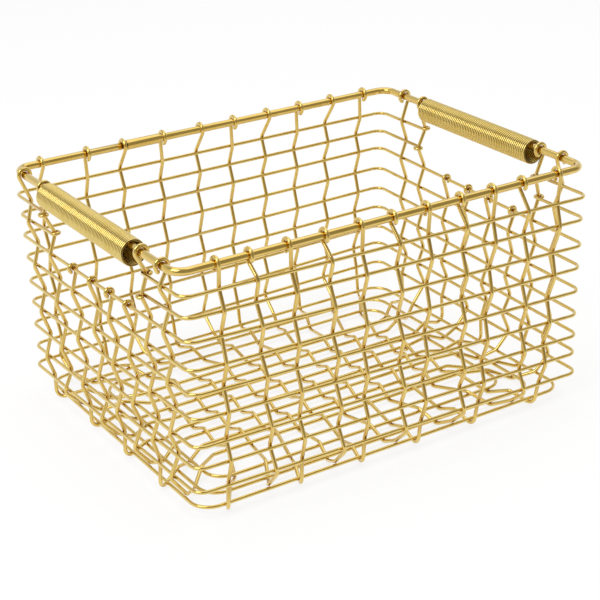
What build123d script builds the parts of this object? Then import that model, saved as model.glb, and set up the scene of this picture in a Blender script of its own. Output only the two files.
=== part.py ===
from build123d import *
import math
import os

# A woven wire locker basket: a thick rim wire, rings that run round it level by level,
# crimped wires that weave past the rings and hang on the rim by bent hooks,
# and a wound grip that turns freely on each short side of the rim.
# Millimetres, +Z up, X along the long side, front at -Y, origin under the middle.

# Rim
rim_length = 400.0  # between centre lines of the rim wire, long way
rim_width = 292.0  # between centre lines of the rim wire, short way
rim_rise = 211.5  # rim wire's centre line above that of the floor rings
rim_wire_size = 6.8
rim_corner_radius = 13.0
rim_joint_gap = 0.6  # between the rim wire's two ends, inside the sleeve

# Sleeve over the joint of the rim wire
sleeve_length = 34.0
sleeve_outside = 9.2
sleeve_gap = 0.2  # all round, between the rim wire and the sleeve
sleeve_place_share = -0.371  # of half the rim's length, on the back
sleeve_left_gap = 1.5  # between its ends and the hooks beside it
sleeve_right_gap = 2.1
hook_count_before_sleeve = 2  # on the back, to the left of those two

# Mesh
weave_wire_size = 3.4  # crimped wires that cross the rings
ring_wire_size = 3.1
ring_corner_radius = 10.0  # of the rings on the walls
floor_ring_radius = 18.0  # of the corners of the rings in the floor
ring_joint_gap = 0.4  # between a whole ring's two ends, in the middle of the back
weave_gap = 0.55  # between wires where they pass each other
hook_gap = 0.35  # between a hook and the rim inside it
eye_gap = 0.9  # between an end loop and the wire inside it
edge_reach = 0.7  # how much lower the edges of a crimped wire reach, as its section turns a little

# Levels of the nine wall rings at their four corners, as shares of the rim's rise, from the top.
# The rings are bent by hand and don't lie quite level. From the front left corner, anticlockwise
wall_level_shares = (
    (0.919, 0.883, 0.879, 0.882),
    (0.834, 0.786, 0.792, 0.792),
    (0.739, 0.672, 0.706, 0.697),
    (0.625, 0.573, 0.605, 0.597),
    (0.528, 0.469, 0.505, 0.485),
    (0.425, 0.362, 0.408, 0.388),
    (0.31, 0.266, 0.306, 0.281),
    (0.221, 0.183, 0.22, 0.175),
    (0.121, 0.092, 0.116, 0.085),
)
# Half lengths and half widths of the wall rings, as shares of the rim's
wall_long_shares = (0.998, 0.99, 0.988, 0.984, 0.981, 0.979, 0.978, 0.976, 0.98)
wall_wide_shares = (1.05, 1.051, 1.053, 1.05, 1.052, 1.05, 1.054, 1.052, 1.056)
# The same for the three rings that lie in the floor
floor_long_shares = (0.94, 0.85, 0.765)
floor_wide_shares = (0.98, 0.85, 0.712)
floor_edge_lift = 2.0  # of the outermost of the three, where the wires turn up into the walls

# Places of the crimped wires on the rim, as shares of half its length or width
front_hook_shares = (-0.829, -0.682, -0.511, -0.341, -0.175, -0.014, 0.154, 0.327, 0.494, 0.655, 0.846)
back_hook_shares = (-0.88, -0.653, -0.069, 0.112, 0.298, 0.481, 0.664, 0.855)  # but for the two by the sleeve
left_hook_shares = (0.864, 0.585, 0.317, 0.054, -0.165, -0.398, -0.63, -0.857)
right_hook_shares = (0.79, 0.585, 0.3, 0.065, -0.149, -0.391, -0.605, -0.802)
# Places of the crosswise wires at the foot of the front wall
front_foot_shares = (-0.832, -0.62, -0.482, -0.294, -0.175, 0.019, 0.112, 0.322, 0.416, 0.654, 0.758)
# Places of the same wires on the middle of the floor
floor_cross_front_shares = (-0.589, -0.469, -0.348, -0.228, -0.106, 0.015, 0.137, 0.259, 0.382, 0.505, 0.628)
floor_cross_back_shares = (-0.611, -0.476, -0.341, -0.204, -0.069, 0.069, 0.205, 0.343, 0.481, 0.62)
floor_long_wire_shares = (0.48, 0.347, 0.215, 0.082, -0.05, -0.182, -0.314, -0.446)
# How far a wire of the other walls has drawn in towards its floor place at the foot of its wall
foot_draw_share = 0.15
# The middle lengthwise wires end in eyes on this ring, below the hand holes
eyes_at_row = 3
# The last crosswise wire ends in an eye on this lengthwise wire of the floor
short_cross_rows = 5

# Hooks and end loops are bent in equal steps
bend_steps = 6
bend_step_angle = 45.0
corner_steps = 3
# Rounds of pushing a crimp out until the straight runs beside it clear the row too
crimp_rounds = 6

# Grips
grip_outside = 22.5
grip_wire_size = 2.4
grip_length = 160.0
grip_rim_gap = 0.35  # between the rim wire and the grip that hangs on it

# Derived sizes
half_long = rim_length / 2
half_wide = rim_width / 2
rim_radius = rim_wire_size / 2
weave_radius = weave_wire_size / 2
ring_radius = ring_wire_size / 2
# A square wire with the area of the round one
square_share = math.sqrt(math.pi) / 2
ring_pass = weave_radius + ring_radius + weave_gap
weave_pass = weave_wire_size + weave_gap
hook_radius = rim_radius + weave_radius + hook_gap
eye_radius = ring_radius + weave_radius + eye_gap
# The floor's crosswise wires swing past the lengthwise ones, and their lowest bends stand at 0
floor_spacing = half_wide * (floor_long_wire_shares[0] - floor_long_wire_shares[1])
floor_swing = weave_pass * floor_spacing / math.sqrt(floor_spacing**2 - 4 * weave_pass**2)
floor_level = floor_swing * (1 + weave_radius * square_share / weave_pass) + edge_reach
rim_level = floor_level + rim_rise
up = Vector(0, 0, 1)
front_way, back_way = Vector(0, -1, 0), Vector(0, 1, 0)
left_way, right_way = Vector(-1, 0, 0), Vector(1, 0, 0)

# Places of the back's hooks; the two beside the sleeve are placed from its ends
joint_x = half_long * sleeve_place_share
back_hook_places = [half_long * share for share in back_hook_shares]
back_hook_places[hook_count_before_sleeve:hook_count_before_sleeve] = [
    joint_x - sleeve_length / 2 - sleeve_left_gap - weave_radius,
    joint_x + sleeve_length / 2 + sleeve_right_gap + weave_radius,
]

os.makedirs("parts", exist_ok=True)


def save(part, name):
    part.label = name
    export_step(part, "parts/" + name + ".step")


def wire_part(name, points, size, side_way):
    """Sweep a square wire along straight runs with mitred bends."""
    start = Plane(origin=points[0], x_dir=side_way, z_dir=(points[1] - points[0]).normalized())
    with BuildPart() as wire:
        with BuildLine() as route:
            Polyline(*points)
        with BuildSketch(start):
            Rectangle(size * square_share, size * square_share)
        sweep(path=route.wire(), transition=Transition.RIGHT)
    save(wire.part, name)


def curl(before, centre, first_way, along_way, radius):
    """Points of a bend round the centre that leaves the run from the point before as a tangent."""
    reach = radius / math.cos(math.radians(bend_step_angle / 2))
    aside = (before - centre).dot(first_way)
    behind = (before - centre).dot(along_way)
    lead = math.atan2(behind, aside) + math.acos(radius / math.hypot(aside, behind))
    points = []
    for step in range(bend_steps + 1):
        angle = lead + math.radians(bend_step_angle * (step + 0.5))
        points.append(centre + (first_way * math.cos(angle) + along_way * math.sin(angle)) * reach)
    return points


def ring_corner(corner, from_way, to_way, radius):
    """Points of a rounded corner, bent in a few equal steps."""
    middle = corner - from_way * radius + to_way * radius
    points = []
    half = math.pi / 4 / corner_steps
    reach = radius / math.cos(half)
    for step in range(corner_steps):
        angle = half * (2 * step + 1)
        points.append(middle + (from_way * math.sin(angle) - to_way * math.cos(angle)) * reach)
    return points


def corner_level(levels, way):
    """The level of the corner that lies that way from the middle."""
    front_left, front_right, back_right, back_left = levels
    if way.Y < 0:
        return front_left if way.X < 0 else front_right
    return back_left if way.X < 0 else back_right


def ring_points(row):
    """A rounded rectangle through one row's corner levels, from its joint on the back, anticlockwise."""
    levels, long_half, wide_half, draw, radius = row
    points = []
    for from_way, to_way in (
        (left_way, front_way),
        (front_way, right_way),
        (right_way, back_way),
        (back_way, left_way),
    ):
        way = from_way - to_way
        corner = Vector(long_half * way.X, wide_half * way.Y, corner_level(levels, way))
        points += ring_corner(corner, from_way, to_way, radius)
    joint = (points[0] + points[-1]) / 2
    end_reach = (points[0] - points[-1]).normalized() * ring_joint_gap / 2
    return [joint + end_reach] + points + [joint - end_reach]


# Every row that a crimped wire passes on one side, from the rim to the middle of the floor:
# its corners' levels, half its length and width, how far its wires have drawn in, and its corner radius.
# The wires draw in from the rim, 0, to the foot of the wall, 1, and on to the middle of the floor, 2
rows = [([rim_level] * 4, half_long, half_wide, 0.0, rim_corner_radius)]
for index in range(len(wall_level_shares)):
    rows.append(
        (
            [floor_level + rim_rise * share for share in wall_level_shares[index]],
            half_long * wall_long_shares[index],
            half_wide * wall_wide_shares[index],
            (index + 1) / (len(wall_level_shares) + 1),
            ring_corner_radius,
        )
    )
for index in range(len(floor_long_shares)):
    rows.append(
        (
            [floor_level + (floor_edge_lift if index == 0 else 0)] * 4,
            half_long * floor_long_shares[index],
            half_wide * floor_wide_shares[index],
            1 + index / len(floor_long_shares),
            floor_ring_radius,
        )
    )


def side_rows(outward, across, rim_place, floor_place, foot_place=None):
    """Centres and outward normals of the rows on one wall, from the rim to the last floor ring."""
    if foot_place is None:
        foot_place = rim_place + (floor_place - rim_place) * foot_draw_share
    centres = []
    for levels, long_half, wide_half, draw, radius in rows:
        reach, run = (long_half, wide_half) if abs(outward.X) > 0 else (wide_half, long_half)
        place = rim_place + (foot_place - rim_place) * min(draw, 1)
        place += (floor_place - foot_place) * max(draw - 1, 0)
        along = (place + run - radius) / (run - radius) / 2
        along = min(max(along, 0), 1)
        first_level, last_level = corner_level(levels, outward - across), corner_level(levels, outward + across)
        level = first_level + (last_level - first_level) * along
        centres.append(outward * reach + across * place + up * level)
    normals = []
    for index in range(len(centres)):
        before = centres[max(index - 1, 0)]
        after = centres[min(index + 1, len(centres) - 1)]
        fall = after - before
        fall = fall - across * fall.dot(across)
        normals.append(across.cross(fall).normalized())
        if normals[-1].dot(outward - up) < 0:
            normals[-1] = normals[-1] * -1
    return centres, normals


def passed(centres, normals, first_side, first_row):
    """The rows of one wall that a wire passes, outside one and inside the next."""
    passes = []
    for index in range(len(centres)):
        side = first_side if (first_row + index) % 2 == 0 else -first_side
        passes.append((centres[index], normals[index] * side, ring_pass))
    return passes


def crimped(passes, across):
    """Points of a wire past its rows, each pushed out until the runs beside it clear the row."""
    offsets = [gap for centre, way, gap in passes]
    for turn in range(crimp_rounds):
        points = [centre + way * offset for (centre, way, gap), offset in zip(passes, offsets)]
        for index in range(len(passes)):
            centre, way, gap = passes[index]
            if gap == 0:
                continue
            clear = offsets[index]
            for near in (index - 1, index + 1):
                if near < 0 or near >= len(points):
                    continue
                run = points[near] - points[index]
                run = (run - across * run.dot(across)).normalized()
                slip = way.dot(run)
                if slip < 0:
                    clear = min(clear, offsets[index] * math.sqrt(1 - slip**2))
            offsets[index] *= gap / clear
    return [centre + way * offset for (centre, way, gap), offset in zip(passes, offsets)]


# Crimped wires from the front of the rim, under the floor's contents, to the back
cross_count = len(front_hook_shares)
long_count = len(floor_long_wire_shares)
for index in range(cross_count):
    side = 1 if index % 2 == 0 else -1
    front_floor = half_long * floor_cross_front_shares[index]
    front_foot = half_long * front_foot_shares[index]
    front_hook = half_long * front_hook_shares[index]
    front_rows, normals = side_rows(front_way, right_way, front_hook, front_floor, front_foot)
    passes = passed(front_rows[1:], normals[1:], side, 1)
    partner = index < len(back_hook_places)
    back_floor = half_long * floor_cross_back_shares[index] if partner else front_floor
    floor_rows = long_count if partner else short_cross_rows - 1
    for row in range(floor_rows):
        place = front_floor + (back_floor - front_floor) * row / (long_count - 1)
        level_side = side if (len(rows) + row) % 2 == 0 else -side
        centre = Vector(place, half_wide * floor_long_wire_shares[long_count - 1 - row], floor_level)
        passes.append((centre, up * -level_side, weave_pass))
    if partner:
        back_rows, normals = side_rows(back_way, right_way, back_hook_places[index], back_floor)
        back_side = side if (2 * len(rows) + long_count - 1) % 2 == 0 else -side
        passes += passed(back_rows[1:], normals[1:], back_side, 1)[::-1]
    points = crimped(passes, right_way)
    hook = curl(points[0], front_rows[0], front_way * side, up, hook_radius)
    if partner:
        end = curl(points[-1], back_rows[0], back_way * back_side, up, hook_radius)
    else:
        centre = Vector(place, half_wide * floor_long_wire_shares[long_count - 1 - floor_rows], floor_level)
        end = curl(points[-1], centre, up * level_side, back_way, weave_pass)
    wire_part("cross_wire_%02d" % (index + 1), hook[::-1] + points + end, weave_wire_size, right_way)

# Crimped wires along the basket; the middle four stop in eyes below the hand holes
long_wire_rows = []
for index in range(long_count):
    side = -1 if index % 2 == 1 else 1
    floor_place = half_wide * floor_long_wire_shares[index]
    whole = index < 2 or index >= long_count - 2
    first = 0 if whole else eyes_at_row
    first_side = side if first % 2 == 0 else -side
    left_rows, normals = side_rows(left_way, back_way, half_wide * left_hook_shares[index], floor_place)
    passes = passed(left_rows[first + 1:], normals[first + 1:], side, first + 1)
    straight = half_long * max(floor_cross_front_shares) + weave_wire_size * 2
    passes.append((Vector(-straight, floor_place, floor_level), up, 0))
    passes.append((Vector(straight, floor_place, floor_level), up, 0))
    right_rows, normals = side_rows(right_way, back_way, half_wide * right_hook_shares[index], floor_place)
    passes += passed(right_rows[first + 1:], normals[first + 1:], side, first + 1)[::-1]
    points = crimped(passes, back_way)
    long_wire_rows.append(points)
    radius = hook_radius if whole else eye_radius
    left_end = curl(points[0], left_rows[first], left_way * first_side, up, radius)
    right_end = curl(points[-1], right_rows[first], right_way * first_side, up, radius)
    wire_part("long_wire_%d" % (index + 1), left_end[::-1] + points + right_end, weave_wire_size, back_way)

# Rings that go all the way round, on the walls and in the floor
for index in range(eyes_at_row, len(rows)):
    on_wall = index <= len(wall_level_shares)
    name = "wall_ring_%d" % index if on_wall else "floor_ring_%d" % (index - len(wall_level_shares))
    wire_part(name, ring_points(rows[index]), ring_wire_size, up)

# The two top rings stop at the hand holes and curl round the wires there
for index in range(1, eyes_at_row):
    levels, long_half, wide_half, draw, radius = rows[index]
    for half_name, outward, wire_index in (("front", front_way, long_count - 2), ("back", back_way, 1)):
        corner_left = Vector(-long_half, outward.Y * wide_half, corner_level(levels, outward + left_way))
        corner_right = Vector(long_half, outward.Y * wide_half, corner_level(levels, outward + right_way))
        bends = ring_corner(corner_left, outward, right_way, radius)
        bends += ring_corner(corner_right, right_way, outward * -1, radius)
        side = 1 if wire_index % 2 == 0 else -1
        here = side if index % 2 == 0 else -side
        wire_rows = long_wire_rows[wire_index]
        loops = []
        for before, way, centre in (
            (bends[0], left_way, wire_rows[index - 1]),
            (bends[-1], right_way, wire_rows[-index]),
        ):
            loops.append(curl(before, centre, way * -here, outward * -1, eye_radius))
        points = loops[0][::-1] + bends + loops[1]
        wire_part("wall_ring_%d_%s" % (index, half_name), points, ring_wire_size, up)

# Rim wire, one bent loop whose ends meet in the sleeve
with BuildPart() as rim_wire:
    with BuildLine() as rim_route:
        FilletPolyline(
            (joint_x - rim_joint_gap / 2, half_wide, rim_level),
            (-half_long, half_wide, rim_level),
            (-half_long, -half_wide, rim_level),
            (half_long, -half_wide, rim_level),
            (half_long, half_wide, rim_level),
            (joint_x + rim_joint_gap / 2, half_wide, rim_level),
            radius=rim_corner_radius,
        )
    with BuildSketch(Plane(origin=rim_route.line @ 0, z_dir=rim_route.line % 0)):
        Circle(rim_radius)
    sweep(path=rim_route.wire())
save(rim_wire.part, "rim_wire")

with BuildPart() as rim_joint_sleeve:
    with BuildSketch(Plane(origin=(joint_x, half_wide, rim_level), z_dir=(1, 0, 0))):
        Circle(sleeve_outside / 2)
        Circle(rim_radius + sleeve_gap, mode=Mode.SUBTRACT)
    extrude(amount=sleeve_length / 2, both=True)
save(rim_joint_sleeve.part, "rim_joint_sleeve")

# Grips: the wound sleeves, hanging on the rim by the top of their bores
grip_bore_radius = grip_outside / 2 - grip_wire_size
grip_drop = grip_bore_radius - rim_radius - grip_rim_gap
for grip_name, centre_x in (("left", -half_long), ("right", half_long)):
    with BuildPart() as grip_coil:
        with BuildSketch(Plane(origin=(centre_x, 0, rim_level - grip_drop), z_dir=back_way)):
            Circle(grip_outside / 2)
            Circle(grip_bore_radius, mode=Mode.SUBTRACT)
        extrude(amount=grip_length / 2, both=True)
    save(grip_coil.part, "grip_coil_" + grip_name)
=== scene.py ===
"""A woven wire locker basket: its looks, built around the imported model.

Sizes are in millimetres unless a name says otherwise, and Blender gets metres.
X runs along the basket, the front is at -Y and Z is up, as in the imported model.
"""

import logging
import math
from collections.abc import Iterable
from dataclasses import dataclass, field
from enum import Enum
from typing import Any

import bpy
from bpy.types import Attribute, Material, Mesh, Node, NodeSocket, NodeTree, Object
from mathutils import Matrix, Vector
from mathutils.kdtree import KDTree


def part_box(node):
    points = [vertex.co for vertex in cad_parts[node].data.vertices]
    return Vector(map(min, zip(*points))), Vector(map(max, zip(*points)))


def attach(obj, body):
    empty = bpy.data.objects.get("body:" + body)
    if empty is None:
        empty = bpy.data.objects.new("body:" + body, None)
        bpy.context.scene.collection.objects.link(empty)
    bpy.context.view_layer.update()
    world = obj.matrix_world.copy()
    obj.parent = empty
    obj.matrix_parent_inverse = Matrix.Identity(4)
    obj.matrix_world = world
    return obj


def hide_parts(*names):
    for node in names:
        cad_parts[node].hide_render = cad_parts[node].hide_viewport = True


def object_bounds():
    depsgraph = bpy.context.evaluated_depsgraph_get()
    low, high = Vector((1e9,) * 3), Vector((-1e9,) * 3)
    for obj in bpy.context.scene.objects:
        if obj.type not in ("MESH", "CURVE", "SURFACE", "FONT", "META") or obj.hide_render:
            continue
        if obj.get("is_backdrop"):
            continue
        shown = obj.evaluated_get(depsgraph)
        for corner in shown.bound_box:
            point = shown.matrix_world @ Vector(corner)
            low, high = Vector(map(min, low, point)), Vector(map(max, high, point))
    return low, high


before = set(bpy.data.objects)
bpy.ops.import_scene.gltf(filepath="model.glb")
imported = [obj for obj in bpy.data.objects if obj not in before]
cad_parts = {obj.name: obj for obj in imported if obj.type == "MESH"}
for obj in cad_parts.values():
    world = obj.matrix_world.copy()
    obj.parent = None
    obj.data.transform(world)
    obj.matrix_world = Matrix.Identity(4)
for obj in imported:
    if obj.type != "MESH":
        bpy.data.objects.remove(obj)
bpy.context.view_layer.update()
METRES = 0.001  # of a millimetre
UP = Vector((0, 0, 1))
HOOK_STEPS = 6  # equal bends of a hook or an eyelet
HOOK_TURN = 270.0  # degrees
CRIMP_ROUNDS = 6  # of pushing a crimp out until its runs clear the row too
STRAIGHT_TURN = math.radians(0.5)  # a smaller turn counts as straight
SMOOTH_ANGLE = math.radians(50)  # a sharper edge stays crisp
SAME_PLACE = 0.01  # points of a centre line nearer than this count as one
WELD_REACH = 0.001  # points of a mesh nearer than this are joined
GRAIN_LENGTH = 40.0  # along a wire, for one width of the grain across it
GRAIN_ATTRIBUTE = "drawn_grain"  # each point's place round and along its wire
SHADE_AND_PATINA_ATTRIBUTE = "painted_shade_and_patina"  # 1 where the brass is darkened most: patina and painted shade where wires touch, painted shade between a grip's turns; 0 in the open

Colour = tuple[float, float, float]
Span = tuple[float, float]
Shares = tuple[float, ...]
Inputs = dict[str | int, Any]

log = logging.getLogger("basket")


class Wall(Enum):
    """The four walls, each with the way it faces."""

    FRONT = (0, -1, 0)
    BACK = (0, 1, 0)
    LEFT = (-1, 0, 0)
    RIGHT = (1, 0, 0)

    @property
    def outward(self) -> Vector:
        """The way out of the basket through this wall."""
        return Vector(self.value)

    @property
    def across(self) -> Vector:
        """The way along this wall's rings."""
        return Vector((abs(self.value[1]), abs(self.value[0]), 0))


class Body(Enum):
    """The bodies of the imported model."""

    BASKET = "basket"
    GRIP_LEFT = "grip_left"
    GRIP_RIGHT = "grip_right"


def millimetre_box(node: str) -> tuple[Vector, Vector]:
    """A node's lowest and highest corners.

    Args:
        node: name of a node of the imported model.

    Returns:
        The two corners, in millimetres.
    """
    low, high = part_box(node)
    return low / METRES, high / METRES


def deselect() -> None:
    """Leave nothing selected, so that an operator acts on its own piece alone."""
    bpy.ops.object.select_all(action="DESELECT")


def surface_attributes(mesh: Mesh) -> tuple[Attribute, Attribute]:
    """Add the two attributes that the brass reads.

    Args:
        mesh: of the piece.

    Returns:
        The grain's attribute and the painted shade and patina attribute, fetched once both are made.
    """
    mesh.attributes.new(GRAIN_ATTRIBUTE, "FLOAT_VECTOR", "POINT")
    mesh.attributes.new(SHADE_AND_PATINA_ATTRIBUTE, "FLOAT", "POINT")
    return mesh.attributes[GRAIN_ATTRIBUTE], mesh.attributes[SHADE_AND_PATINA_ATTRIBUTE]


def feed(tree: NodeTree, node: Node, inputs: Inputs) -> None:
    """Set or link a node's inputs.

    Args:
        tree: the nodes that it belongs to.
        node: the node.
        inputs: by name or number, each with its value or the socket that feeds it.
    """
    for key, value in inputs.items():
        if isinstance(value, NodeSocket):
            tree.links.new(value, node.inputs[key])
        else:
            node.inputs[key].default_value = value


def add_node(tree: NodeTree, kind: str, inputs: Inputs | None = None,
             **settings: Any) -> Node:
    """Add a node.

    Args:
        tree: the nodes to add to.
        kind: its type.
        inputs: as for feed.
        settings: its own settings, made before its inputs are fed.

    Returns:
        The new node.
    """
    node = tree.nodes.new(kind)
    for name, value in settings.items():
        setattr(node, name, value)
    feed(tree, node, inputs or {})
    return node


@dataclass(frozen=True)
class BrassFinish:
    """Lacquered brass wire: a drawn grain along it, faint stains, and a darker colour where an attribute marks
    it: patina with painted shade where wires touch, painted shade between a grip's turns.
    """

    name: str
    colour: Colour
    stain_colour: Colour
    shade_and_patina_colour: Colour
    roughness: float = 0.13
    grain: float = 0.08  # how far the drawn grain changes the roughness
    grain_scale: float = 5.0
    grain_detail: float = 3.0
    grain_noise: Span = (0.25, 0.75)  # the part of the noise that counts
    stain_size: float = 16.0  # of the darker patches
    stain_detail: float = 4.0
    stain_noise: Span = (0.32, 0.62)  # the noise at a full stain and at clean brass
    shade_and_patina_share: float = 0.85  # how far the places marked for painted shade and patina take that darker colour
    bump: float = 0.06
    bump_depth: float = 0.1
    lacquer: float = 0.7  # the clear coat's share
    lacquer_roughness: float = 0.06

    def material(self) -> Material:
        """Build the finish's material.

        Returns:
            The new material.
        """
        material = bpy.data.materials.new(self.name)
        material.use_nodes = True
        tree = material.node_tree
        # Fine streaks, which the drawing die leaves along the wire
        drawn = add_node(tree, "ShaderNodeAttribute", attribute_name=GRAIN_ATTRIBUTE)
        noise = add_node(tree, "ShaderNodeTexNoise", {
            "Vector": drawn.outputs["Vector"], "Scale": self.grain_scale, "Detail": self.grain_detail})
        streaks = noise.outputs["Fac"]
        gloss = add_node(tree, "ShaderNodeMapRange", {
            "Value": streaks, "From Min": self.grain_noise[0], "From Max": self.grain_noise[1],
            "To Min": self.roughness - self.grain / 2, "To Max": self.roughness + self.grain / 2})
        bump = add_node(tree, "ShaderNodeBump", {
            "Height": streaks, "Strength": self.bump, "Distance": self.bump_depth * METRES})
        feed(tree, tree.nodes["Principled BSDF"], {
            "Metallic": 1.0, "Coat Weight": self.lacquer, "Coat Roughness": self.lacquer_roughness,
            "Base Color": self.colours(tree), "Roughness": gloss.outputs["Result"],
            "Normal": bump.outputs["Normal"]})
        return material

    def colours(self, tree: NodeTree) -> NodeSocket:
        """Add the stained brass colour, darkened where the painted shade and patina attribute marks it: patina
        with painted shade where wires touch, painted shade between a grip's turns.

        Args:
            tree: the material's nodes.

        Returns:
            The colour's socket.
        """
        place = add_node(tree, "ShaderNodeTexCoord")
        stains = add_node(tree, "ShaderNodeTexNoise", {
            "Vector": place.outputs["Object"], "Scale": 1 / (self.stain_size * METRES),
            "Detail": self.stain_detail})
        tint = add_node(tree, "ShaderNodeValToRGB", {"Fac": stains.outputs["Fac"]})
        steps = zip(tint.color_ramp.elements, self.stain_noise, (self.stain_colour, self.colour))
        for element, noise, colour in steps:
            element.position = noise
            element.color = (*colour, 1)
        # Painted shade, with patina where wires touch: the attribute darkens the brass towards the darker
        # colour
        painted_shade_and_patina = add_node(tree, "ShaderNodeAttribute", attribute_name=SHADE_AND_PATINA_ATTRIBUTE)
        share = add_node(tree, "ShaderNodeMath", {0: painted_shade_and_patina.outputs["Fac"], 1: self.shade_and_patina_share},
                         operation="MULTIPLY")
        mix = add_node(tree, "ShaderNodeMix", {
            "Factor": share.outputs["Value"], "A": tint.outputs["Color"], "B": (*self.shade_and_patina_colour, 1)},
            data_type="RGBA")
        return mix.outputs["Result"]


# The last colour of each finish is the painted shade and patina colour; the grip's, nearly black, is painted
# shade for the valleys between its turns
MESH_BRASS = BrassFinish("mesh_brass", (0.79, 0.59, 0.17), (0.74, 0.53, 0.13), (0.43, 0.23, 0.03))
RIM_BRASS = BrassFinish("rim_brass", (0.76, 0.55, 0.15), (0.71, 0.5, 0.11), (0.4, 0.22, 0.03))
GRIP_BRASS = BrassFinish("grip_brass", (0.96, 0.74, 0.23), (0.91, 0.67, 0.17), (0.12, 0.065, 0.006),
                         shade_and_patina_share=1.0, roughness=0.16, grain=0.04, lacquer=0.4)


@dataclass
class Contacts:
    """The places where wires touch, for the patina and painted shade that darken the brass there."""

    close: float = 0.9  # up to here from a contact the painted shade and patina are full
    reach: float = 4.2  # and here it ends
    places: list[Vector] = field(default_factory=list)
    tree: KDTree | None = None

    def add(self, places: Iterable[Vector]) -> None:
        """Note more places where wires touch.

        Args:
            places: in millimetres.
        """
        self.places += places

    def settle(self) -> None:
        """Sort the places once all are known."""
        self.tree = KDTree(len(self.places))
        for index, place in enumerate(self.places):
            self.tree.insert(place, index)
        self.tree.balance()

    def painted_shade_and_patina(self, point: Vector) -> float:
        """How far a point on a wire is darkened by painted shade and patina.

        Args:
            point: in millimetres.

        Returns:
            From 0 in the open to 1 at a contact.
        """
        gap = self.tree.find(point)[2]
        share = min(max((self.reach - gap) / (self.reach - self.close), 0), 1)
        return share * share


@dataclass
class Bend:
    """One corner of a wire's route, and the radius that it is bent to."""

    place: Vector
    radius: float


@dataclass
class Wire:
    """A wire bent along a route and cut clean at its ends."""

    name: str
    route: list[Bend]
    size: float
    sides: int = 14
    bend_step: float = 9.0  # degrees of a bend between one ring of points and the next
    end_round: float = 0.3  # how far a cut end's edge is rounded

    def line(self) -> list[Vector]:
        """The wire's centre line.

        Returns:
            Points along straight runs and round bends, in millimetres.
        """
        points = [self.route[0].place]
        for before, bend, after in zip(self.route, self.route[1:], self.route[2:]):
            points += self.bent(before.place, bend, after.place)
        return points + [self.route[-1].place]

    def bent(self, before: Vector, bend: Bend, after: Vector) -> list[Vector]:
        """Points round one bend.

        Args:
            before: the corner before it.
            bend: the bend itself.
            after: the corner after it.

        Returns:
            The bend's points in order.
        """
        way_in = (bend.place - before).normalized()
        way_out = (after - bend.place).normalized()
        turn = way_in.angle(way_out)
        if turn < STRAIGHT_TURN:
            return [bend.place]
        room = min((bend.place - before).length, (after - bend.place).length) / 2
        reach = min(bend.radius * math.tan(turn / 2), room)
        radius = reach / math.tan(turn / 2)
        inward = (way_out - way_in * math.cos(turn)).normalized()
        start = bend.place - way_in * reach
        steps = max(2, math.ceil(math.degrees(turn) / self.bend_step))
        points = []
        for step in range(steps + 1):
            angle = turn * step / steps
            along = way_in * (radius * math.sin(angle))
            points.append(start + along + inward * (radius * (1 - math.cos(angle))))
        return points

    def draw(self, finish: Material, contacts: Contacts) -> Object:
        """Draw the wire as a thick path and turn it into a mesh.

        Args:
            finish: the material that it gets.
            contacts: where wires touch.

        Returns:
            The wire's mesh object.
        """
        bent = self.line()
        steps = zip(bent, bent[1:])
        line = [bent[0]] + [after for before, after in steps if (after - before).length > SAME_PLACE]
        first = (line[1] - line[0]).normalized() * self.end_round
        last = (line[-2] - line[-1]).normalized() * self.end_round
        line = [line[0], line[0] + first] + line[1:-1] + [line[-1] + last, line[-1]]
        end_share = 1 - 2 * self.end_round / self.size
        shares = [end_share] + [1.0] * (len(line) - 2) + [end_share]
        deselect()
        bpy.ops.curve.primitive_nurbs_path_add()
        wire = bpy.context.object
        wire.name = self.name
        path = wire.data
        path.splines.clear()
        run = path.splines.new("POLY")
        run.points.add(len(line) - 1)
        for point, place, share in zip(run.points, line, shares):
            point.co = (*(place * METRES), 1)
            point.radius = share
        path.bevel_depth = self.size / 2 * METRES
        path.bevel_resolution = (self.sides - 4) // 2  # it has 4 sides at 0, and 2 more for each step
        path.use_fill_caps = True
        bpy.ops.object.convert(target="MESH")
        wire = bpy.context.object
        wire.data.materials.clear()
        wire.data.materials.append(finish)
        self.lay_grain(wire, line, contacts)
        # The caps come as loose discs, so they are joined to the wire's cut ends
        bpy.ops.object.mode_set(mode="EDIT")
        bpy.ops.mesh.select_all(action="SELECT")
        bpy.ops.mesh.remove_doubles(threshold=WELD_REACH * METRES)
        bpy.ops.object.mode_set(mode="OBJECT")
        bpy.ops.object.shade_smooth_by_angle(angle=SMOOTH_ANGLE)
        return wire

    def lay_grain(self, wire: Object, line: list[Vector], contacts: Contacts) -> None:
        """Give each point its place round and along the wire, for the grain, and its share of painted shade and
        patina.

        Args:
            wire: the wire's mesh object.
            line: the centre line that its rings of points follow.
            contacts: where wires touch.
        """
        mesh = wire.data
        around = len(mesh.vertices) // len(line)
        lengths = [0.0]
        for before, after in zip(line, line[1:]):
            lengths.append(lengths[-1] + (after - before).length)
        grain, painted_shade_and_patina = surface_attributes(mesh)
        for vertex in mesh.vertices:
            ring = min(vertex.index // around, len(line) - 1)
            angle = 2 * math.pi * (vertex.index % around) / around
            run = lengths[ring] / GRAIN_LENGTH
            grain.data[vertex.index].vector = (math.cos(angle), math.sin(angle), run)
            # Painted shade and patina near the places where wires touch
            painted_shade_and_patina.data[vertex.index].value = contacts.painted_shade_and_patina(vertex.co / METRES)


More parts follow.
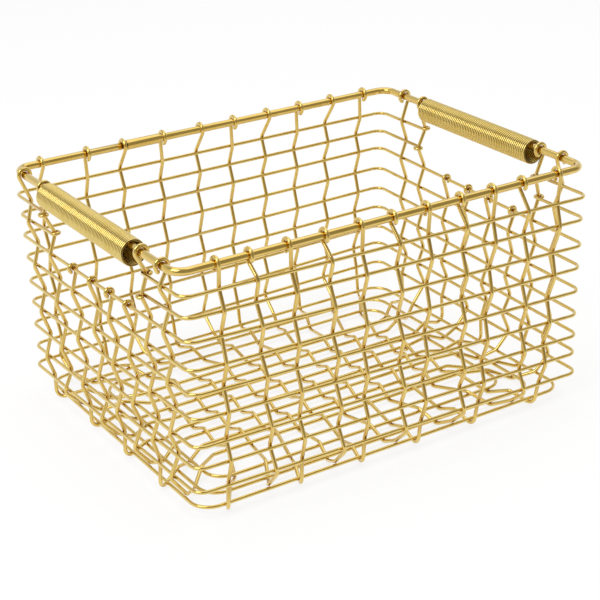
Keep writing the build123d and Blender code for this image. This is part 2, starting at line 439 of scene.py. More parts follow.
def curl(before: Vector, centre: Vector, first_way: Vector, along_way: Vector, radius: float) -> list[Bend]:
    """Bends of a wire's end that leaves its last run as a tangent and goes on round a centre.

    Args:
        before: the last corner of the run.
        centre: the middle of the hook or eyelet.
        first_way: the way from the centre to where the bend starts.
        along_way: the way that the bend starts along.
        radius: of the wire's centre line.

    Returns:
        The bends in order, away from the run.
    """
    step = math.radians(HOOK_TURN / HOOK_STEPS)
    aside = (before - centre).dot(first_way)
    behind = (before - centre).dot(along_way)
    lead = math.atan2(behind, aside) + math.acos(radius / math.hypot(aside, behind))
    reach = radius / math.cos(step / 2)
    corners = [(index + 0.5, reach) for index in range(HOOK_STEPS)]
    bends = []
    for steps, out in [*corners, (HOOK_STEPS, radius)]:
        angle = lead + step * steps
        bends.append(Bend(centre + (first_way * math.cos(angle) + along_way * math.sin(angle)) * out, radius))
    return bends


def alternate(side: int, rows: int) -> int:
    """The side that a woven wire is on some rows further on.

    Args:
        side: 1 for outside, -1 for inside.
        rows: how many rows further on.

    Returns:
        The side there.
    """
    return side if rows % 2 == 0 else -side


@dataclass
class Pass:
    """A place where a crimped wire passes another: the other's middle and the side to pass on."""

    centre: Vector
    way: Vector
    gap: float


def crimped(passes: list[Pass], across: Vector, radius: float) -> list[Bend]:
    """Bends of a wire past a list of rows, pushed out until its bends and its runs clear them.

    Args:
        passes: the rows in order.
        across: the way that the rows run.
        radius: of the crimps.

    Returns:
        One bend for each row.
    """
    offsets = [one.gap for one in passes]
    for _ in range(CRIMP_ROUNDS):
        points = [one.centre + one.way * offset for one, offset in zip(passes, offsets)]
        for index, one in enumerate(passes):
            if one.gap == 0:
                continue
            runs = []
            clear = offsets[index]
            for near in (index - 1, index + 1):
                if 0 <= near < len(points):
                    run = points[near] - points[index]
                    runs.append((run - across * run.dot(across)).normalized())
                    slip = min(one.way.dot(runs[-1]), 0)
                    clear = min(clear, offsets[index] * math.sqrt(1 - slip**2))
            if len(runs) == 2 and one.way.dot(runs[0] + runs[1]) < 0:
                half_turn = (math.pi - runs[0].angle(runs[1])) / 2
                room = min((points[near] - points[index]).length for near in (index - 1, index + 1)) / 2
                bend_radius = min(radius, room / math.tan(half_turn))
                cut = bend_radius * (1 / math.cos(half_turn) - 1)
                clear = min(clear, max(offsets[index] - cut, one.gap / 2))
            offsets[index] *= one.gap / clear
    return [Bend(one.centre + one.way * offset, radius) for one, offset in zip(passes, offsets)]


@dataclass
class Row:
    """A ring of the basket, or its rim: a rounded rectangle whose corners each have a level."""

    levels: tuple[float, float, float, float]  # front left, front right, back right, back left
    half_long: float
    half_wide: float
    radius: float  # of its corners
    draw: float  # how far the crimped wires have drawn in: 0 at the rim, 1 at the foot, 2 in mid floor

    def corner(self, way: Vector) -> Vector:
        """The corner that lies that way from the middle.

        Args:
            way: with the signs of the corner's places along X and Y.

        Returns:
            The corner of the rectangle, before it is rounded.
        """
        front_left, front_right, back_right, back_left = self.levels
        if way.y < 0:
            level = front_left if way.x < 0 else front_right
        else:
            level = back_left if way.x < 0 else back_right
        return Vector((math.copysign(self.half_long, way.x), math.copysign(self.half_wide, way.y), level))

    def point(self, wall: Wall, place: float) -> Vector:
        """The middle of the wire on one wall.

        Args:
            wall: the wall.
            place: along it, from the middle.

        Returns:
            The point.
        """
        first, last = self.corner(wall.outward - wall.across), self.corner(wall.outward + wall.across)
        run = last.dot(wall.across) - self.radius
        along = min(max((place / run + 1) / 2, 0), 1)
        level = first.z + (last.z - first.z) * along
        return wall.outward * first.dot(wall.outward) + wall.across * place + UP * level


@dataclass
class Weave:
    """The woven mesh: rings that go round and crimped wires that weave past them."""

    contacts: Contacts
    weave_size: float = 3.4
    ring_size: float = 3.1
    rim_size: float = 6.8
    touch: float = 0.1  # between wires that lie on each other
    hook_play: float = 0.35  # between a hook and the rim wire
    crimp_radius: float = 7.0
    ring_corner_radius: float = 10.0
    floor_corner_radius: float = 18.0
    ring_joint_gap: float = 0.4
    wall_ring_count: int = 9
    open_ring_count: int = 2  # top rings that stop at the hand holes
    whole_wire_count: int = 2  # lengthwise wires that reach the rim, at the front and at the back
    floor_edge_lift: float = 2.0
    foot_draw_share: float = 0.15
    short_cross_rows: int = 5
    wall_level_shares: tuple[tuple[float, float, float, float], ...] = (
        (0.919, 0.883, 0.879, 0.882),
        (0.834, 0.786, 0.792, 0.792),
        (0.739, 0.672, 0.706, 0.697),
        (0.625, 0.573, 0.605, 0.597),
        (0.528, 0.469, 0.505, 0.485),
        (0.425, 0.362, 0.408, 0.388),
        (0.31, 0.266, 0.306, 0.281),
        (0.221, 0.183, 0.22, 0.175),
        (0.121, 0.092, 0.116, 0.085),
    )
    wall_long_shares: Shares = (0.998, 0.99, 0.988, 0.984, 0.981, 0.979, 0.978, 0.976, 0.98)
    wall_wide_shares: Shares = (1.05, 1.051, 1.053, 1.05, 1.052, 1.05, 1.054, 1.052, 1.056)
    floor_long_shares: Shares = (0.94, 0.85, 0.765)
    floor_wide_shares: Shares = (0.98, 0.85, 0.712)
    front_hook_shares: Shares = (
        -0.829, -0.682, -0.511, -0.341, -0.175, -0.014, 0.154, 0.327, 0.494, 0.655, 0.846)
    back_hook_shares: Shares = (
        -0.88, -0.653, -0.472, -0.267, -0.069, 0.112, 0.298, 0.481, 0.664, 0.855)
    left_hook_shares: Shares = (0.864, 0.585, 0.317, 0.054, -0.165, -0.398, -0.63, -0.857)
    right_hook_shares: Shares = (0.79, 0.585, 0.3, 0.065, -0.149, -0.391, -0.605, -0.802)
    front_foot_shares: Shares = (
        -0.832, -0.62, -0.482, -0.294, -0.175, 0.019, 0.112, 0.322, 0.416, 0.654, 0.758)
    cross_front_shares: Shares = (
        -0.589, -0.469, -0.348, -0.228, -0.106, 0.015, 0.137, 0.259, 0.382, 0.505, 0.628)
    cross_back_shares: Shares = (
        -0.611, -0.476, -0.341, -0.204, -0.069, 0.069, 0.205, 0.343, 0.481, 0.62)
    long_floor_shares: Shares = (0.48, 0.347, 0.215, 0.082, -0.05, -0.182, -0.314, -0.446)
    half_long: float = field(init=False)
    half_wide: float = field(init=False)
    floor_level: float = field(init=False)
    rows: list[Row] = field(init=False)
    long_bends: list[list[Bend]] = field(default_factory=list)

    def __post_init__(self) -> None:
        """Read the rim's place and the floor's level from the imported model, and lay out the rows."""
        low, high = millimetre_box("rim_wire")
        self.half_long = (high.x - low.x - self.rim_size) / 2
        self.half_wide = (high.y - low.y - self.rim_size) / 2
        rim_level = (low.z + high.z) / 2
        floor_low, floor_high = millimetre_box("floor_ring_3")
        self.floor_level = (floor_low.z + floor_high.z) / 2
        self.rows = [Row((rim_level,) * 4, self.half_long, self.half_wide, 0.0, 0.0)]
        for index, shares in enumerate(self.wall_level_shares):
            levels = tuple(self.floor_level + (rim_level - self.floor_level) * share for share in shares)
            self.rows.append(Row(levels, self.half_long * self.wall_long_shares[index],
                                 self.half_wide * self.wall_wide_shares[index], self.ring_corner_radius,
                                 (index + 1) / (self.wall_ring_count + 1)))
        for index, (long_share, wide_share) in enumerate(zip(self.floor_long_shares, self.floor_wide_shares)):
            level = self.floor_level + (self.floor_edge_lift if index == 0 else 0)
            self.rows.append(Row((level,) * 4, self.half_long * long_share, self.half_wide * wide_share,
                                 self.floor_corner_radius, 1 + index / len(self.floor_long_shares)))

    @property
    def ring_pass(self) -> float:
        """From a ring's middle to that of a crimped wire that lies on it."""
        return (self.weave_size + self.ring_size) / 2 + self.touch

    @property
    def weave_pass(self) -> float:
        """Between the middles of two crimped wires that lie on each other."""
        return self.weave_size + self.touch

    @property
    def hook_radius(self) -> float:
        """Of a hook's centre line round the rim wire."""
        return (self.rim_size + self.weave_size) / 2 + self.hook_play

    @property
    def eye_radius(self) -> float:
        """Of an eyelet's centre line round a ring."""
        return (self.ring_size + self.weave_size) / 2 + 2 * self.touch

    def side_rows(self, wall: Wall, rim_place: float, floor_place: float,
                  foot_place: float | None = None) -> tuple[list[Vector], list[Vector]]:
        """The rows of one wall at one wire.

        Args:
            wall: the wall.
            rim_place: the wire's place along the wall at the rim.
            floor_place: its place in the middle of the floor.
            foot_place: its place at the foot of the wall, where that was seen.

        Returns:
            The rows' middles from the rim to the last floor ring, and the ways out of the mesh there.
        """
        if foot_place is None:
            foot_place = rim_place + (floor_place - rim_place) * self.foot_draw_share
        centres = []
        for row in self.rows:
            place = rim_place + (foot_place - rim_place) * min(row.draw, 1)
            place += (floor_place - foot_place) * max(row.draw - 1, 0)
            centres.append(row.point(wall, place))
        normals = []
        for index in range(len(centres)):
            fall = centres[min(index + 1, len(centres) - 1)] - centres[max(index - 1, 0)]
            fall = fall - wall.across * fall.dot(wall.across)
            normal = wall.across.cross(fall).normalized()
            normals.append(normal if normal.dot(wall.outward - UP) > 0 else -normal)
        return centres, normals

    def passed(self, centres: list[Vector], normals: list[Vector], first_side: int,
               first_row: int) -> list[Pass]:
        """The rows that a wire passes on one wall, outside one and inside the next.

        Args:
            centres: the rows' middles.
            normals: the ways out of the mesh there.
            first_side: 1 where the wire is outside the rim, -1 where it is inside.
            first_row: the number of the first of these rows.

        Returns:
            One pass for each row.
        """
        passes = []
        for index, (centre, normal) in enumerate(zip(centres, normals)):
            side = alternate(first_side, first_row + index)
            passes.append(Pass(centre, normal * side, self.ring_pass))
        return passes

    def hung(self, bends: list[Bend], centre: Vector, first_way: Vector, along_way: Vector,
             radius: float) -> list[Bend]:
        """Bend one end of a wire round another, and note where the two touch.

        Args:
            bends: of the wire, its end last.
            centre: the middle of the other wire.
            first_way: the way from the centre to where the hook or eyelet starts.
            along_way: the way that it starts along.
            radius: of its centre line.

        Returns:
            The bends of the end, away from the wire.
        """
        end = curl(bends[-1].place, centre, first_way, along_way, radius)
        self.contacts.add((bend.place + centre) / 2 for bend in end)
        return end

    def crimps(self, passes: list[Pass], across: Vector) -> list[Bend]:
        """Crimp a wire past its rows, and note where it touches them.

        Args:
            passes: the rows in order.
            across: the way that the rows run.

        Returns:
            One bend for each row.
        """
        bends = crimped(passes, across, self.crimp_radius)
        self.contacts.add((bend.place + one.centre) / 2 for bend, one in zip(bends, passes) if one.gap > 0)
        return bends

    def cross_wire(self, index: int) -> Wire:
        """One crimped wire from the front of the rim, through the floor, to the back.

        Args:
            index: its number from the left, from 0.

        Returns:
            The wire.
        """
        side = alternate(1, index)
        front_floor = self.half_long * self.cross_front_shares[index]
        front, normals = self.side_rows(Wall.FRONT, self.half_long * self.front_hook_shares[index], front_floor,
                                        self.half_long * self.front_foot_shares[index])
        passes = self.passed(front[1:], normals[1:], side, 1)
        partner = index < len(self.back_hook_shares)
        back_floor = self.half_long * self.cross_back_shares[index] if partner else front_floor
        long_count = len(self.long_floor_shares)
        floor_rows = long_count if partner else self.short_cross_rows - 1
        for row in range(floor_rows):
            place = front_floor + (back_floor - front_floor) * row / (long_count - 1)
            level_side = alternate(side, len(self.rows) + row)
            across = self.half_wide * self.long_floor_shares[long_count - 1 - row]
            centre = Vector((place, across, self.floor_level))
            passes.append(Pass(centre, UP * -level_side, self.weave_pass))
        if partner:
            back, normals = self.side_rows(Wall.BACK, self.half_long * self.back_hook_shares[index], back_floor)
            back_side = alternate(side, 2 * len(self.rows) + long_count - 1)
            passes += self.passed(back[1:], normals[1:], back_side, 1)[::-1]
        bends = self.crimps(passes, Wall.FRONT.across)
        hook = self.hung(bends[::-1], front[0], Wall.FRONT.outward * side, UP, self.hook_radius)
        if partner:
            end = self.hung(bends, back[0], Wall.BACK.outward * back_side, UP, self.hook_radius)
        else:
            across = self.half_wide * self.long_floor_shares[long_count - 1 - floor_rows]
            centre = Vector((place, across, self.floor_level))
            end = self.hung(bends, centre, UP * level_side, Wall.BACK.outward, self.weave_pass)
        return Wire(f"crimped_cross_wire_{index + 1:02d}", hook[::-1] + bends + end, self.weave_size)

    def long_wire(self, index: int) -> Wire:
        """One crimped wire along the basket; the middle four end in eyelets below the hand holes.

        Args:
            index: its number from the back, from 0.

        Returns:
            The wire.
        """
        side = alternate(1, index)
        floor_place = self.half_wide * self.long_floor_shares[index]
        whole = not self.whole_wire_count <= index < len(self.long_floor_shares) - self.whole_wire_count
        first = 0 if whole else self.open_ring_count + 1
        first_side = alternate(side, first)
        left, normals = self.side_rows(Wall.LEFT, self.half_wide * self.left_hook_shares[index], floor_place)
        passes = self.passed(left[first + 1:], normals[first + 1:], side, first + 1)
        straight = self.half_long * max(self.cross_front_shares) + self.weave_size * 2
        passes.append(Pass(Vector((-straight, floor_place, self.floor_level)), UP, 0))
        passes.append(Pass(Vector((straight, floor_place, self.floor_level)), UP, 0))
        right, normals = self.side_rows(Wall.RIGHT, self.half_wide * self.right_hook_shares[index], floor_place)
        passes += self.passed(right[first + 1:], normals[first + 1:], side, first + 1)[::-1]
        bends = self.crimps(passes, Wall.LEFT.across)
        self.long_bends.append(bends)
        radius = self.hook_radius if whole else self.eye_radius
        left_end = self.hung(bends[::-1], left[first], Wall.LEFT.outward * first_side, UP, radius)
        right_end = self.hung(bends, right[first], Wall.RIGHT.outward * first_side, UP, radius)
        return Wire(f"crimped_long_wire_{index + 1}", left_end[::-1] + bends + right_end, self.weave_size)

    def whole_ring(self, row_index: int) -> tuple[Wire, str]:
        """One ring that goes all the way round, with its butt joint in the middle of the back.

        Args:
            row_index: the number of its row.

        Returns:
            The ring and the name of the node that it replaces.
        """
        row = self.rows[row_index]
        ways = [Vector((-1, 1, 0)), Vector((-1, -1, 0)), Vector((1, -1, 0)), Vector((1, 1, 0))]
        corners = [Bend(row.corner(way), row.radius) for way in ways]
        joint = (corners[0].place + corners[-1].place) / 2
        to_end = Vector((-self.ring_joint_gap / 2, 0, 0))
        route = [Bend(joint + to_end, 0), *corners, Bend(joint - to_end, 0)]
        on_wall = row_index <= self.wall_ring_count
        part, number = ("wall", row_index) if on_wall else ("floor", row_index - self.wall_ring_count)
        return Wire(f"ring_of_{part}_{number}", route, self.ring_size), f"{part}_ring_{number}"

    def open_ring(self, row_index: int, wall: Wall) -> Wire:
        """One half of a ring that stops at the hand holes and curls round the wires there.

        Args:
            row_index: the number of its row.
            wall: front or back.

        Returns:
            The half ring.
        """
        row = self.rows[row_index]
        wire_index = 1 if wall is Wall.BACK else len(self.long_floor_shares) - 2
        here = alternate(1, wire_index + row_index)
        bends = self.long_bends[wire_index]
        left = Bend(row.corner(wall.outward + Wall.LEFT.outward), row.radius)
        right = Bend(row.corner(wall.outward + Wall.RIGHT.outward), row.radius)
        left_end = self.hung([left], bends[row_index - 1].place, Wall.LEFT.outward * -here, -wall.outward,
                             self.ring_pass)
        right_end = self.hung([right], bends[-row_index].place, Wall.RIGHT.outward * -here, -wall.outward,
                              self.ring_pass)
        route = [*left_end[::-1], left, right, *right_end]
        return Wire(f"open_ring_{row_index}_{wall.name.lower()}", route, self.ring_size)

    def wires(self) -> list[tuple[Wire, str]]:
        """Work out every wire of the mesh, which notes all the places where they touch.

        Returns:
            Each wire with the name of the node that it replaces.
        """
        crosswise, lengthwise = range(len(self.front_hook_shares)), range(len(self.long_floor_shares))
        made = [(self.cross_wire(index), f"cross_wire_{index + 1:02d}") for index in crosswise]
        made += [(self.long_wire(index), f"long_wire_{index + 1}") for index in lengthwise]
        made += [self.whole_ring(row_index) for row_index in range(self.open_ring_count + 1, len(self.rows))]
        for row_index in range(1, self.open_ring_count + 1):
            for wall in (Wall.FRONT, Wall.BACK):
                made.append((self.open_ring(row_index, wall), f"wall_ring_{row_index}_{wall.name.lower()}"))
        self.contacts.settle()
        return made

    def build(self, finish: Material) -> None:
        """Draw every wire of the mesh.

        Args:
            finish: the material of the mesh.
        """
        for wire, node in self.wires():
            place_piece(wire.draw(finish, self.contacts), node)


def place_piece(piece: Object, node: str, body: Body = Body.BASKET) -> None:
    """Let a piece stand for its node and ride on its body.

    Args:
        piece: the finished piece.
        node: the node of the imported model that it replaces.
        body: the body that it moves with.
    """
    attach(piece, body.value)
    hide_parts(node)
    log.info("%s stands for %s", piece.name, node)


@dataclass
class Rim:
    """The thick rim wire and the sleeve over its joint."""

    contacts: Contacts
    size: float = 6.8
    corner_radius: float = 13.0
    joint_gap: float = 0.6
    sides: int = 24
    bend_step: float = 5.0  # degrees
    sleeve_wall: float = 1.0
    sleeve_edge: float = 0.35
    sleeve_edge_steps: int = 3
    sleeve_sides: int = 32

    def build(self, finish: Material) -> None:
        """Draw the rim wire and its sleeve.

        Args:
            finish: the material of both.
        """
        low, high = millimetre_box("rim_wire")
        sleeve_low, sleeve_high = millimetre_box("rim_joint_sleeve")
        joint = (sleeve_low.x + sleeve_high.x) / 2
        x, y = high.x - self.size / 2, high.y - self.size / 2
        level = (low.z + high.z) / 2
        half_gap = self.joint_gap / 2
        places = [(joint - half_gap, y), (-x, y), (-x, -y), (x, -y), (x, y), (joint + half_gap, y)]
        route = [Bend(Vector((*place, level)), self.corner_radius) for place in places]
        rim = Wire("bent_rim_wire", route, self.size, self.sides, self.bend_step)
        place_piece(rim.draw(finish, self.contacts), "rim_wire")
        place_piece(self.sleeve(sleeve_low, sleeve_high, finish), "rim_joint_sleeve")

    def sleeve(self, low: Vector, high: Vector, finish: Material) -> Object:
        """Make the sleeve: a short tube with rounded lips.

        Args:
            low: its lowest corner.
            high: its highest corner.
            finish: its material.

        Returns:
            The sleeve.
        """
        deselect()
        bpy.ops.mesh.primitive_cylinder_add(
            vertices=self.sleeve_sides, radius=(high.z - low.z) / 2 * METRES, depth=(high.x - low.x) * METRES,
            end_fill_type="NOTHING", location=(low + high) / 2 * METRES, rotation=(0, math.pi / 2, 0))
        sleeve = bpy.context.object
        sleeve.name = "joint_sleeve"
        bpy.ops.object.transform_apply(location=True, rotation=True, scale=True)
        wall = sleeve.modifiers.new("wall", "SOLIDIFY")
        wall.thickness = self.sleeve_wall * METRES
        wall.offset = -1
        bpy.ops.object.modifier_apply(modifier=wall.name)
        lips = sleeve.modifiers.new("lips", "BEVEL")
        lips.width = self.sleeve_edge * METRES
        lips.segments = self.sleeve_edge_steps
        lips.angle_limit = SMOOTH_ANGLE
        bpy.ops.object.modifier_apply(modifier=lips.name)
        bpy.ops.object.shade_smooth_by_angle(angle=SMOOTH_ANGLE)
        sleeve.data.materials.append(finish)
        along, painted_shade_and_patina = surface_attributes(sleeve.data)
        middle = (low + high) / 2
        for vertex in sleeve.data.vertices:
            offset = vertex.co / METRES - middle
            round_way = Vector((0, offset.y, offset.z)).normalized()
            along.data[vertex.index].vector = (round_way.y, round_way.z, offset.x / GRAIN_LENGTH)
            # Painted shade and patina near the places where wires touch
            painted_shade_and_patina.data[vertex.index].value = self.contacts.painted_shade_and_patina(vertex.co / METRES)
        return sleeve


@dataclass
class Grip:
    """A close-wound sleeve of wire that hangs on the rim by the top of its bore."""

    wire_size: float = 2.4
    turns: int = 66
    steps_per_turn: int = 40
    sides: int = 12
    fill_share: float = 0.995  # of the rise of a turn, the most that the wire fills
    unshaded_crown_share: float = 0.95  # of the wire's radius, how far out from its middle the painted shade reaches; the crown beyond keeps the full colour
    valley_shade_curve: float = 0.55  # under 1, the painted shade on the sides of a turn darkens sooner
    grain_share: float = 0.4  # how much the grain changes round the grip

    def build(self, node: str, body: Body, finish: Material) -> None:
        """Wind one grip.

        Args:
            node: the node that it replaces.
            body: the body that it rides on.
            finish: its material.
        """
        low, high = millimetre_box(node)
        middle = (low + high) / 2
        coil_radius = (high.z - low.z - self.wire_size) / 2
        rise = (high.y - low.y - self.wire_size) / self.turns
        deselect()
        bpy.ops.mesh.primitive_circle_add(
            vertices=self.sides, radius=min(self.wire_size, rise * self.fill_share) / 2 * METRES,
            location=(coil_radius * METRES, 0, 0), rotation=(math.pi / 2, 0, 0))
        coil = bpy.context.object
        coil.name = f"wound_{node}"
        bpy.ops.object.transform_apply(location=True, rotation=True, scale=True)
        winding = coil.modifiers.new("winding", "SCREW")
        winding.axis = "Z"
        winding.angle = 2 * math.pi
        winding.iterations = self.turns
        winding.steps = winding.render_steps = self.steps_per_turn
        winding.screw_offset = rise * METRES
        winding.use_merge_vertices = False
        bpy.ops.object.modifier_apply(modifier=winding.name)
        bpy.ops.object.mode_set(mode="EDIT")
        bpy.ops.mesh.select_all(action="SELECT")
        bpy.ops.mesh.fill_holes(sides=self.sides)
        bpy.ops.mesh.normals_make_consistent(inside=False)
        bpy.ops.object.mode_set(mode="OBJECT")
        # The coil stands on Z, so it is laid along Y and moved to its place on the rim
        lay = Matrix.Rotation(-math.pi / 2, 4, "X")
        start = Vector((middle.x, low.y + self.wire_size / 2, middle.z)) * METRES
        coil.data.transform(Matrix.Translation(start) @ lay)
        coil.data.update()
        self.lay_grain(coil, middle, coil_radius, finish)
        place_piece(coil, node, body)

    def lay_grain(self, coil: Object, middle: Vector, coil_radius: float,
                  finish: Material) -> None:
        """Give the coil its finish, its drawn grain, which runs along the wire, and painted shade in the
        valleys between its turns.

        Args:
            coil: the wound wire.
            middle: the middle of the grip.
            coil_radius: from the grip's middle line to the wire's.
            finish: its material.
        """
        coil.data.materials.clear()
        coil.data.materials.append(finish)
        grain, painted_shade_and_patina = surface_attributes(coil.data)
        for vertex in coil.data.vertices:
            offset = vertex.co / METRES - middle
            outward = (math.hypot(offset.x, offset.z) - coil_radius) / self.wire_size * 2
            angle = math.atan2(offset.z, offset.x)
            along = offset.y / self.wire_size + math.sin(angle) * self.grain_share
            grain.data[vertex.index].vector = (outward, math.cos(angle) * self.grain_share, along)
            # Painted shade: the sides of each turn darken towards the valleys between turns, and the crowns
            # keep the full colour
            turn_side_shade = max((self.unshaded_crown_share - abs(outward)) / self.unshaded_crown_share, 0)
            painted_shade_and_patina.data[vertex.index].value = turn_side_shade ** self.valley_shade_curve
        for face in coil.data.polygons:
            face.use_smooth = True


@dataclass(frozen=True)
class Lamp:
    """A soft square lamp that the camera doesn't see."""

    name: str
    place: tuple[float, float, float]
    size: float
    watts: float


@dataclass
class Studio:
    """A pale floor, soft lamps and the camera at the photograph's angle."""

    azimuth: float = -32.108
    elevation: float = 23.992
    distance: float = 1462.9
    focal_pixels: float = 1606.0
    frame_pixels: float = 600.0
    sensor: float = 36.0
    roll: float = -1.5545
    target: tuple[float, float, float] = (8.15, 13.30, 85.59)
    clip_end: float = 100000.0
    floor_size: float = 12000.0
    floor_grey: float = 0.9  # where it is lit
    floor_glow: float = 0.8  # how much of its own white the camera and reflections see
    # Where the floor's white starts to fall off to the dim room's grey, nearer than the picture's lower edge
    floor_fall: Span = (-380.0, -1100.0)
    dim_grey: float = 0.34
    # The room's greys by height, from -1 straight below to 1 straight above
    soft_room: tuple[Span, ...] = ((-1, 0.3), (1, 0.9))
    back_room: tuple[Span, ...] = (
        (-1, 1.0), (0.12, 1.0), (0.3, 0.85), (0.6, 0.7), (0.85, 0.45), (1, 0.4))
    front_room: tuple[Span, ...] = (
        (-1, 0.4), (0.0, 0.4), (0.25, 0.34), (0.5, 0.35), (0.75, 0.4), (1, 0.4))
    front_tint: Colour = (1.0, 0.9, 0.74)  # of the dim room behind the camera
    front_facing: Span = (0.05, -0.45)  # along Y, from the back room to the front one
    lamps: tuple[Lamp, ...] = (
        Lamp("key_lamp", (-1250, -340, 1480), 1000, 11.0),
        Lamp("top_lamp", (400, 300, 1800), 1900, 10.0),
    )
    lamp_aim: tuple[float, float, float] = (0, 0, 100)

    def build(self) -> None:
        """Set up the camera, the floor, the lamps and the world."""
        self.camera()
        self.floor()
        for lamp in self.lamps:
            self.add_lamp(lamp)
        self.world()
        bpy.context.scene.view_settings.view_transform = "Standard"

    def camera(self) -> None:
        """Add the camera where the photograph was taken from."""
        azimuth, elevation = math.radians(self.azimuth), math.radians(self.elevation)
        back = Vector((math.sin(azimuth) * math.cos(elevation), -math.cos(azimuth) * math.cos(elevation),
                       math.sin(elevation)))
        right = (-back).cross(UP).normalized()
        top = right.cross(-back)
        roll = math.radians(self.roll)
        right_rolled = right * math.cos(roll) + top * math.sin(roll)
        top_rolled = top * math.cos(roll) - right * math.sin(roll)
        deselect()
        bpy.ops.object.camera_add()
        camera = bpy.context.object
        camera.data.sensor_width = self.sensor
        camera.data.lens = self.focal_pixels * self.sensor / self.frame_pixels
        camera.data.clip_end = self.clip_end * METRES
        turn = Matrix((right_rolled, top_rolled, back)).transposed().to_4x4()
        place = (Vector(self.target) + back * self.distance) * METRES
        camera.matrix_world = Matrix.Translation(place) @ turn
        bpy.context.scene.camera = camera

    def floor(self) -> None:
        """Add the floor, which keeps the shadow.

        The camera and reflections see it white round the basket, and falling off to a warm grey in front.
        """
        deselect()
        bpy.ops.mesh.primitive_plane_add(size=self.floor_size * METRES, location=(0, 0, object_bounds()[0][2]))
        floor = bpy.context.object
        floor.name = "pale_floor"
        material = bpy.data.materials.new("pale_floor")
        material.use_nodes = True
        tree = material.node_tree
        tree.nodes.clear()
        place = add_node(tree, "ShaderNodeTexCoord")
        parts = add_node(tree, "ShaderNodeSeparateXYZ", {"Vector": place.outputs["Object"]})
        start, end = self.floor_fall
        fall = add_node(tree, "ShaderNodeMapRange", {
            "Value": parts.outputs["Y"], "From Min": start * METRES, "From Max": end * METRES},
            interpolation_type="SMOOTHSTEP")
        grey = (*(self.dim_grey * part for part in self.front_tint), 1)
        tone = add_node(tree, "ShaderNodeMix", {"Factor": fall.outputs["Result"], "A": (1, 1, 1, 1), "B": grey},
                        data_type="RGBA")
        white = add_node(tree, "ShaderNodeEmission", {"Color": tone.outputs["Result"], "Strength": 1.0})
        matte = add_node(tree, "ShaderNodeBsdfDiffuse", {"Color": (self.floor_grey,) * 3 + (1,)})
        share = add_node(tree, "ShaderNodeMath", {0: seen_rays(tree), 1: self.floor_glow}, operation="MULTIPLY")
        mix = add_node(tree, "ShaderNodeMixShader", {
            "Fac": share.outputs["Value"], 1: matte.outputs["BSDF"], 2: white.outputs["Emission"]})
        add_node(tree, "ShaderNodeOutputMaterial", {"Surface": mix.outputs["Shader"]})
        floor.data.materials.append(material)
        floor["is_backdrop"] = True

    def add_lamp(self, lamp: Lamp) -> None:
        """Add one lamp, aimed at the basket.

        Args:
            lamp: its place, size and power.
        """
        deselect()
        bpy.ops.object.light_add(type="AREA", location=Vector(lamp.place) * METRES)
        light = bpy.context.object
        light.name = lamp.name
        light.data.size = lamp.size * METRES
        light.data.energy = lamp.watts
        light.visible_camera = False
        aim = Vector(self.lamp_aim) - Vector(lamp.place)
        light.rotation_euler = aim.to_track_quat("-Z", "Y").to_euler()

    def world(self) -> None:
        """Fill the room.

        Matte surfaces get soft light. The camera and the brass see a pale room at the back and a dim one
        in front.
        """
        world = bpy.data.worlds.new("studio_room")
        bpy.context.scene.world = world
        world.use_nodes = True
        tree = world.node_tree
        tree.nodes.clear()
        way = add_node(tree, "ShaderNodeTexCoord")
        parts = add_node(tree, "ShaderNodeSeparateXYZ", {"Vector": way.outputs["Generated"]})
        rise = add_node(tree, "ShaderNodeMapRange", {"Value": parts.outputs["Z"], "From Min": -1.0})
        white = (1.0, 1.0, 1.0)
        soft, back, front = (self.room(tree, rise.outputs["Result"], steps, tint) for steps, tint in (
            (self.soft_room, white), (self.back_room, white), (self.front_room, self.front_tint)))
        start, end = self.front_facing
        facing = add_node(tree, "ShaderNodeMapRange", {
            "Value": parts.outputs["Y"], "From Min": start, "From Max": end})
        seen = add_node(tree, "ShaderNodeMixShader", {"Fac": facing.outputs["Result"], 1: back, 2: front})
        mix = add_node(tree, "ShaderNodeMixShader", {
            "Fac": seen_rays(tree), 1: soft, 2: seen.outputs["Shader"]})
        add_node(tree, "ShaderNodeOutputWorld", {"Surface": mix.outputs["Shader"]})

    @staticmethod
    def room(tree: NodeTree, rise: NodeSocket, steps: tuple[Span, ...],
             tint: Colour) -> NodeSocket:
        """One side of the room, in greys by height.

        Args:
            tree: the world's nodes.
            rise: the socket that gives the height, from 0 to 1.
            steps: heights from -1 to 1, each with its grey.
            tint: of the greys that are darker than white.

        Returns:
            The background's socket.
        """
        height = add_node(tree, "ShaderNodeValToRGB", {"Fac": rise})
        ramp = height.color_ramp
        for _ in range(len(steps) - len(ramp.elements)):
            ramp.elements.new(0.5)
        for element, (level, grey) in zip(ramp.elements, steps):
            element.position = (level + 1) / 2
            element.color = (*(grey * (part if grey < 1 else 1) for part in tint), 1)
        room = add_node(tree, "ShaderNodeBackground", {"Color": height.outputs["Color"]})
        return room.outputs["Background"]


def seen_rays(tree: NodeTree) -> NodeSocket:
    """Pick out the rays that see the background: the camera's, and those in metal and glass.

    Args:
        tree: the nodes to add to.

    Returns:
        A socket that is 1 for those rays and 0 for the rest.
    """
    path = add_node(tree, "ShaderNodeLightPath")
    seen = path.outputs["Is Camera Ray"]
    for kind in ("Is Glossy Ray", "Is Transmission Ray"):
        either = add_node(tree, "ShaderNodeMath", {0: seen, 1: path.outputs[kind]}, operation="MAXIMUM")
        seen = either.outputs["Value"]
    return seen


def main() -> None:
    """Build the basket and its studio, in order."""
    logging.basicConfig(level=logging.INFO, format="%(message)s")
    mesh_finish, rim_finish, grip_finish = MESH_BRASS.material(), RIM_BRASS.material(), GRIP_BRASS.material()
    contacts = Contacts()
    Weave(contacts).build(mesh_finish)
    Rim(contacts).build(rim_finish)
    Grip().build("grip_coil_left", Body.GRIP_LEFT, grip_finish)
    Grip().build("grip_coil_right", Body.GRIP_RIGHT, grip_finish)
    Studio().build()
    deselect()


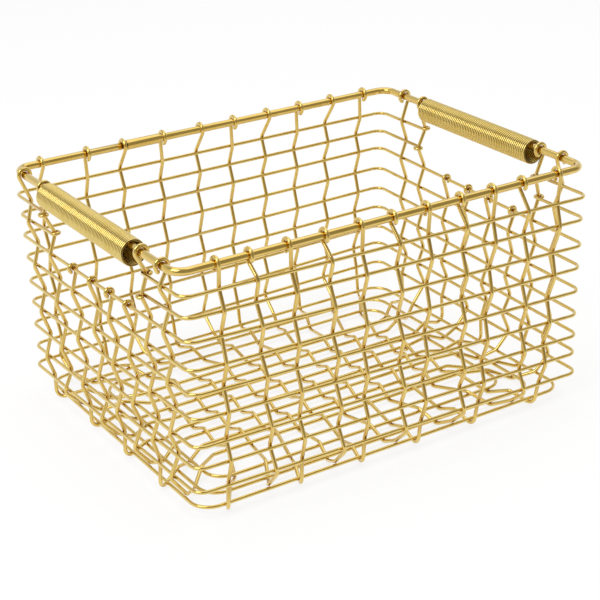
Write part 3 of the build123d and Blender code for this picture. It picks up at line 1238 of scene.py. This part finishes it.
if __name__ == "__main__":
    main()
